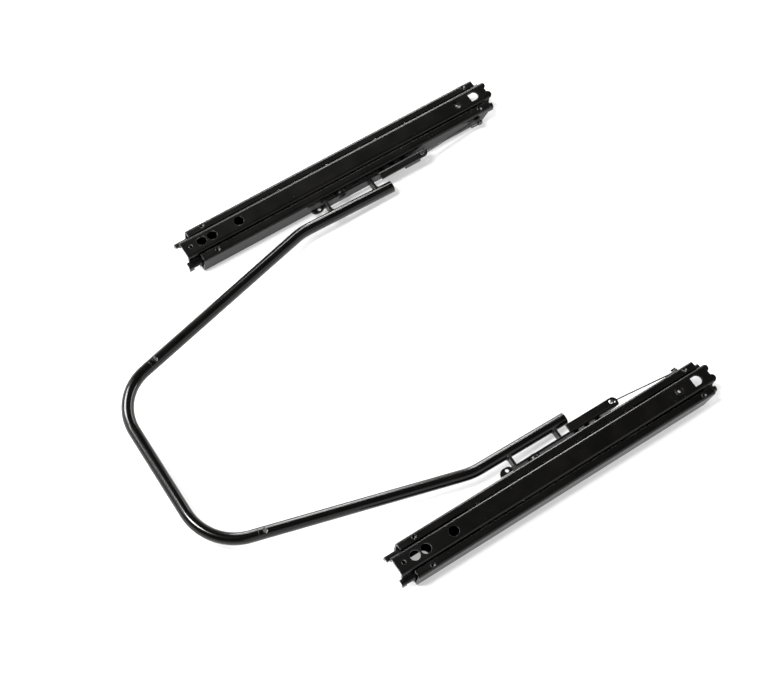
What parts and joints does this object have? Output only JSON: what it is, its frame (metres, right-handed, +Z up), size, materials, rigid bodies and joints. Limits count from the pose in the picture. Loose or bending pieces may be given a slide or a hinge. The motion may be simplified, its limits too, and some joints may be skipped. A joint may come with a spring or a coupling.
{
  "type": "seat slide rail set",
  "caption": "Pair of black seat slide rails with ball bearings, notched racks and spring-loaded latches, joined by a U-shaped tube that lifts to release both.",
  "frame": {"origin": "centre of the four floor bolt holes, on the floor plane under the outer rails", "axes": "+X along the rails to the rear, away from the release bar's crossbar; +Y from the left rail to the right one; +Z up, from the floor to the seat"},
  "size_m": [0.4742, 0.394, 0.0327],
  "materials": {
    "rail_paint": "semi-gloss black",
    "latch_paint": "semi-gloss black",
    "bar_paint": "gloss black",
    "rivet_steel": "black over steel",
    "spring_wire": "oiled spring wire",
    "bearing_steel": "polished",
    "cage_steel": "greased"
  },
  "bodies": {
    "base": {"left_outer_rail": "rail_paint", "right_outer_rail": "rail_paint", "left_pivot_rivet": "rivet_steel", "right_pivot_rivet": "rivet_steel", "left_pivot_washer": "rivet_steel", "right_pivot_washer": "rivet_steel", "left_spring_pin": "rivet_steel", "right_spring_pin": "rivet_steel"},
    "left_slider": {"left_inner_rail": "rail_paint"},
    "right_slider": {"right_inner_rail": "rail_paint"},
    "left_bearings": {"left_ball_cages": "cage_steel", "left_balls": "bearing_steel", "left_rollers": "bearing_steel"},
    "right_bearings": {"right_ball_cages": "cage_steel", "right_balls": "bearing_steel", "right_rollers": "bearing_steel"},
    "release": {"release_bow": "bar_paint", "left_release_arm": "bar_paint", "right_release_arm": "bar_paint", "left_latch_lever": "latch_paint", "right_latch_lever": "latch_paint"},
    "left_spring": {"left_return_spring": "spring_wire"},
    "right_spring": {"right_return_spring": "spring_wire"}
  },
  "joints": [
    {"name": "left_slide", "type": "slide", "parent": "base", "child": "left_slider", "axis": [1, 0, 0], "range_m": [-0.072, 0.072]},
    {"name": "right_slide", "type": "slide", "parent": "base", "child": "right_slider", "axis": [1, 0, 0], "range_m": [-0.072, 0.072]},
    {"name": "left_bearing_roll", "type": "slide", "parent": "base", "child": "left_bearings", "axis": [1, 0, 0], "range_m": [-0.037, 0.037]},
    {"name": "right_bearing_roll", "type": "slide", "parent": "base", "child": "right_bearings", "axis": [1, 0, 0], "range_m": [-0.037, 0.037]},
    {"name": "release_lift", "type": "hinge", "parent": "base", "child": "release", "pos_m": [-0.012, 0, 0.011], "axis": [0, 1, 0], "range_deg": [-2.6, 1.2], "stiffness_Nm_per_rad": 30},
    {"name": "left_spring_turn", "type": "hinge", "parent": "base", "child": "left_spring", "pos_m": [0.147, -0.1579, 0.0095], "axis": [0, 1, 0], "range_deg": [-1.55, 3.3]},
    {"name": "right_spring_turn", "type": "hinge", "parent": "base", "child": "right_spring", "pos_m": [0.147, 0.1579, 0.0095], "axis": [0, 1, 0], "range_deg": [-1.55, 3.3]}
  ],
  "couplings": [
    {"joint": "left_bearing_roll", "follows": "left_slide", "ratio": 0.5},
    {"joint": "right_bearing_roll", "follows": "right_slide", "ratio": 0.5},
    {"joint": "left_spring_turn", "follows": "release_lift", "ratio": -1.239},
    {"joint": "right_spring_turn", "follows": "release_lift", "ratio": -1.239}
  ]
}
